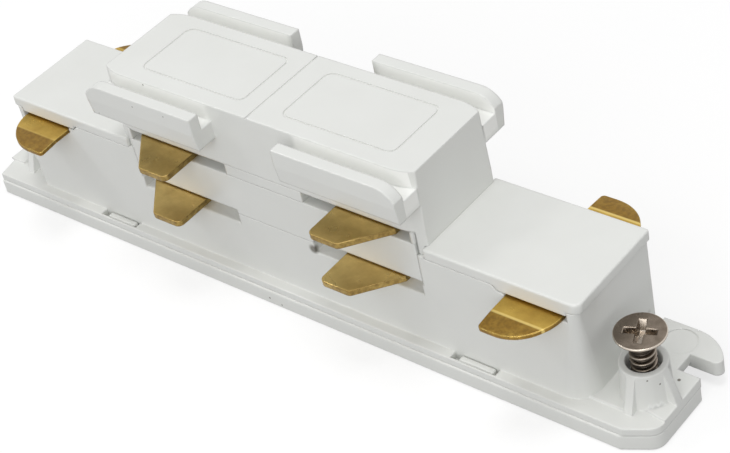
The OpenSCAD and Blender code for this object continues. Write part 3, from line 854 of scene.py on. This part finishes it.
@dataclass(frozen=True)
class ThreadedScrew:
    """A countersunk thread-forming screw with a cross recess.

    Ridge and flank are shares of the pitch. Painted light values go from 1, a painted highlight, to -1,
    painted shade.
    """

    node: str
    piece_name: str
    body: Body
    recess_turn: float
    head_d: float = 5.9 * MM
    head_rim: float = 0.25 * MM
    rim_break: float = 0.12 * MM
    neck_extra: float = 0.12 * MM
    neck_drop: float = 0.1 * MM
    thread_d: float = 3.0 * MM
    core_d: float = 2.16 * MM
    pitch: float = 0.9 * MM
    ridge: float = 0.31
    flank: float = 0.22
    thread_from: float = 1.95 * MM
    thread_rise: float = 0.45 * MM
    thread_fade: float = 1.6 * MM
    tip_taper: float = 1.0 * MM
    tip_share: float = 0.42
    shank_gaps: tuple[float, float] = (0.05 * MM, 0.02 * MM)
    recess_span: float = 3.75 * MM
    recess_w: float = 0.88 * MM
    recess_depth: float = 1.25 * MM
    recess_slope: float = 2.1
    recess_wall: float = 0.09 * MM
    hub_d: float = 1.3 * MM
    hub_wall: float = 0.225 * MM
    hub_share: float = 0.9
    # Painted light values: highlight in the recess, shade on the cone and the thread roots, highlight on
    # the crests
    recess_glint: float = 0.55
    glint_below: float = 0.12 * MM
    cone_shade: float = -0.3
    root_shade: float = -0.75
    crest_glint: float = 0.35
    root_share: float = 0.3
    columns: int = 240
    flat_rings: int = 52
    rim_rings: int = 4
    cone_rings: int = 14
    shank_rings: int = 170

    def _rings(self, values: np.ndarray) -> np.ndarray:
        """Repeats one value a ring all the way round.

        Args:
            values: a value for each ring.

        Returns:
            The values as rings by columns.
        """
        return np.broadcast_to(values[:, None], (len(values), self.columns))

    def _recess(self, radius: np.ndarray, turn: np.ndarray) -> np.ndarray:
        """Works out how deep the recess is at a place on the head.

        Two crossed arms, each deepest at the axis and running up to its end, and a round hub
        whose wall cuts the corners between them.

        Args:
            radius: distance from the axis.
            turn: angle round the axis.

        Returns:
            Depth below the top of the head.
        """
        u = radius * np.cos(turn - self.recess_turn)
        v = radius * np.sin(turn - self.recess_turn)
        arms = []
        for along, across in ((u, v), (v, u)):
            floor = (self.recess_span / 2 - np.abs(along)) * self.recess_slope
            walls = smooth_step((self.recess_w / 2 - np.abs(across)) / self.recess_wall + 0.5)
            arms.append(np.clip(floor, 0, self.recess_depth) * walls)
        inside = smooth_step((self.hub_d / 2 - radius) / self.hub_wall + 0.5)
        return np.maximum(np.maximum(*arms), self.hub_share * self.recess_depth * inside)

    def _thread(self, down: np.ndarray, turn: np.ndarray, length: float) -> np.ndarray:
        """Works out the shank's radius: a ridge that climbs one pitch a turn, and fades at both ends.

        Args:
            down: distance below the top of the head.
            turn: angle round the axis.
            length: overall length of the screw.

        Returns:
            Radius of the surface.
        """
        phase = -down / self.pitch - turn / math.tau
        from_crest = np.abs((phase + 0.5) % 1.0 - 0.5)
        height = (self.thread_d - self.core_d) / 2 * smooth_step((self.ridge - from_crest) / self.flank)
        left = length - down
        slim = self.tip_share + (1 - self.tip_share) * smooth_step(left / self.tip_taper)
        starts = smooth_step((down - self.thread_from) / self.thread_rise)
        ends = smooth_step(left / self.thread_fade)
        return self.core_d / 2 * slim + height * starts * ends

    def _profile(self, turn: np.ndarray, length: float) -> tuple[np.ndarray, np.ndarray, np.ndarray]:
        """Lays out the surface ring by ring: head, rim, cone, shank and tip.

        Args:
            turn: angle round the axis of each column.
            length: overall length of the screw.

        Returns:
            Radius, distance below the top of the head and painted light value, as rings by columns.
        """
        head_r = self.head_d / 2
        flat_end = head_r - self.rim_break
        flat_r = self._rings(np.linspace(0, flat_end, self.flat_rings))
        flat_down = self._recess(flat_r, turn)
        flat_glint = self.recess_glint * smooth_step(flat_down / self.glint_below)

        swing = np.linspace(0, math.pi / 2, self.rim_rings + 1)[1:]
        rim_r = self._rings(flat_end + self.rim_break * np.sin(swing))
        rim_down = self._rings(self.rim_break * (1 - np.cos(swing)))
        rim_glint = np.ones(rim_r.shape)

        share = np.linspace(0, 1, self.cone_rings)
        neck_r = self.core_d / 2 + self.neck_extra
        cone_h = (self.head_d - self.thread_d) / 2 + self.neck_drop
        cone_r = self._rings(head_r + (neck_r - head_r) * share)
        cone_down = self._rings(self.head_rim + cone_h * share)
        cone_shade = np.full(cone_r.shape, self.cone_shade)

        before, after = self.shank_gaps
        shank_down = self._rings(np.linspace(self.head_rim + cone_h + before, length - after,
                                             self.shank_rings))
        shank_r = self._thread(shank_down, turn, length)
        raised = (shank_r - self.core_d / 2) / (self.thread_d - self.core_d) * 2
        crest = smooth_step((1 + self.root_share) * raised - self.root_share)
        shank_glint_and_shade = self.root_shade + (self.crest_glint - self.root_shade) * crest

        point = np.zeros((1, self.columns))
        return (np.vstack([flat_r, rim_r, cone_r, shank_r, point]),
                np.vstack([flat_down, rim_down, cone_down, shank_down, point + length]),
                np.vstack([flat_glint, rim_glint, cone_shade, shank_glint_and_shade, point]))

    def build(self, finish: bpy.types.Material) -> bpy.types.Object:
        """Makes the screw as one closed surface.

        Args:
            finish: its material.

        Returns:
            The new piece, riding on its own body.
        """
        low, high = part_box(self.node)
        axis = (low + high) / 2
        turn = np.linspace(0, math.tau, self.columns, endpoint=False)[None, :]
        radius, down, painted_light = self._profile(turn, high.z - low.z)
        places = np.stack([axis.x + radius * np.cos(turn), axis.y + radius * np.sin(turn),
                           high.z - down], axis=-1)
        mesh = grid_mesh(self.piece_name, places)
        per_point = np.concatenate([painted_light[0, :1], painted_light[1:-1].ravel(), painted_light[-1, :1]])
        marks = mesh.attributes.new(PAINTED_SCREW_LIGHT, "FLOAT", "POINT")
        marks.data.foreach_set("value", per_point.astype(np.float32))
        mesh.materials.append(finish)
        piece = new_object(self.piece_name, mesh)
        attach(piece, self.body.value)
        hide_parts(self.node)
        LOG.info("%s: %d faces", self.piece_name, len(mesh.polygons))
        return piece


@dataclass(frozen=True)
class Viewpoint:
    """The photograph's camera, solved from the straight edges of the part."""

    place: Place = (0.13770, -0.12012, 0.15169)
    target: Place = (0.00963, -0.00173, 0.0120)
    lens: float = 93.885
    sensor: float = 36
    dip: float = math.radians(13.52)
    clip: tuple[float, float] = (0.01, 20)

    def build(self) -> bpy.types.Object:
        """Makes the camera and sets it as the scene's own.

        Returns:
            The camera.
        """
        forward = (Vector(self.target) - Vector(self.place)).normalized()
        level = forward.cross(Vector((0, 0, 1))).normalized()
        upright = level.cross(forward)
        right = math.cos(self.dip) * level - math.sin(self.dip) * upright
        up = right.cross(forward)
        view = bpy.data.cameras.new("photo_camera")
        view.lens = self.lens
        view.sensor_width = self.sensor
        view.sensor_fit = "HORIZONTAL"
        view.clip_start, view.clip_end = self.clip
        camera = new_object("photo_camera", view)
        turn = Matrix((right, up, -forward)).transposed().to_4x4()
        camera.matrix_world = Matrix.Translation(self.place) @ turn
        bpy.context.scene.camera = camera
        return camera


@dataclass(frozen=True)
class Lamp:
    """One square soft lamp that looks at the part, with its power in watts."""

    name: str
    place: Place
    size: float
    power: float

    def build(self) -> None:
        """Makes the lamp."""
        lamp = bpy.data.lights.new(self.name, "AREA")
        lamp.energy = self.power
        lamp.size = self.size
        holder = new_object(self.name, lamp)
        holder.location = self.place
        holder.rotation_euler = (-Vector(self.place)).to_track_quat("-Z", "Y").to_euler()


@dataclass(frozen=True)
class Studio:
    """A pale floor, a white backdrop and three soft lamps at a plain level."""

    sky: float = 0.58
    lamps: tuple[Lamp, ...] = (
        Lamp("key_softbox", (0.05, 0.0, 0.50), 0.12, 0.60),
        Lamp("fill_softbox", (0.16, -0.39, 0.20), 0.30, 0.68),
        Lamp("edge_softbox", (-0.285, -0.175, 0.37), 0.08, 0.22))
    floor_half: float = 1.5
    floor_drop: float = 0.02 * MM
    floor_colour: Colour = (0.34, 0.34, 0.34)
    floor_lift: float = 0.68

    def build(self) -> None:
        """Makes the world, the floor and the lamps."""
        self._world()
        self._floor()
        for lamp in self.lamps:
            lamp.build()
        bpy.context.scene.view_settings.view_transform = "Standard"

    @staticmethod
    def _seen(graph: Graph) -> Socket:
        """Tells rays from the camera, straight, mirrored or through glass, from rays that carry light.

        Args:
            graph: the graph of the material or the world.

        Returns:
            The socket that is 1 for them and 0 for the others.
        """
        path = graph.add("ShaderNodeLightPath")
        return graph.highest(path.outputs["Is Camera Ray"], path.outputs["Is Glossy Ray"],
                             path.outputs["Is Transmission Ray"])

    def _world(self) -> None:
        """Makes a white backdrop for the camera and for reflections, and an even soft light."""
        world = bpy.data.worlds.new("white_room")
        bpy.context.scene.world = world
        world.use_nodes = True
        graph = Graph(world.node_tree)
        strength = graph.between(self._seen(graph), self.sky, 1.0)
        light = graph.add("ShaderNodeBackground", {"Color": (1, 1, 1, 1), "Strength": strength})
        graph.add("ShaderNodeOutputWorld", {"Surface": light.outputs[0]})

    def _floor(self) -> None:
        """Makes the floor: it keeps the shadow, and its unshaded part is white to the camera."""
        half = self.floor_half
        mesh = bpy.data.meshes.new("pale_floor")
        mesh.from_pydata([(-half, -half, 0), (half, -half, 0), (half, half, 0), (-half, half, 0)], [],
                         [(0, 1, 2, 3)])
        floor = new_object("pale_floor", mesh)
        floor.location.z = -self.floor_drop
        made, graph = new_material("pale_floor")
        lift = graph.product(self._seen(graph), self.floor_lift)
        graph.surface({"Base Color": (*self.floor_colour, 1), "Roughness": 1.0, "Specular IOR Level": 0.0,
                       "Emission Color": (1, 1, 1, 1), "Emission Strength": lift})
        mesh.materials.append(made)


def main() -> None:
    """Builds the camera, the studio and every piece in order."""
    logging.basicConfig(level=logging.INFO, format="%(name)s: %(message)s")
    Viewpoint().build()
    Studio().build()
    effects = Effects()
    plastic = PlasticFinish().build(effects)
    line_brass = BrassFinish(name="line_brass", colour=(0.68, 0.50, 0.19), tarnish=(0.36, 0.25, 0.08),
                             tip_share=0.0).build(effects)
    # The earth strip's bright rim colour is a painted highlight along its edges and crease
    earth_brass = BrassFinish(name="earth_brass", colour=(0.63, 0.43, 0.10), tarnish=(0.29, 0.17, 0.035),
                              rim=(0.88, 0.69, 0.25)).build(effects)
    nickel = ScrewFinish().build(effects)
    Mouldings().build(plastic)
    Contacts().build(line_brass, earth_brass)
    ThreadedScrew("right_fixing_screw", "right_countersunk_screw", Body.RIGHT_SCREW,
                  recess_turn=math.radians(22)).build(nickel)
    ThreadedScrew("left_fixing_screw", "left_countersunk_screw", Body.LEFT_SCREW,
                  recess_turn=math.radians(-22)).build(nickel)


if __name__ == "__main__":
    main()
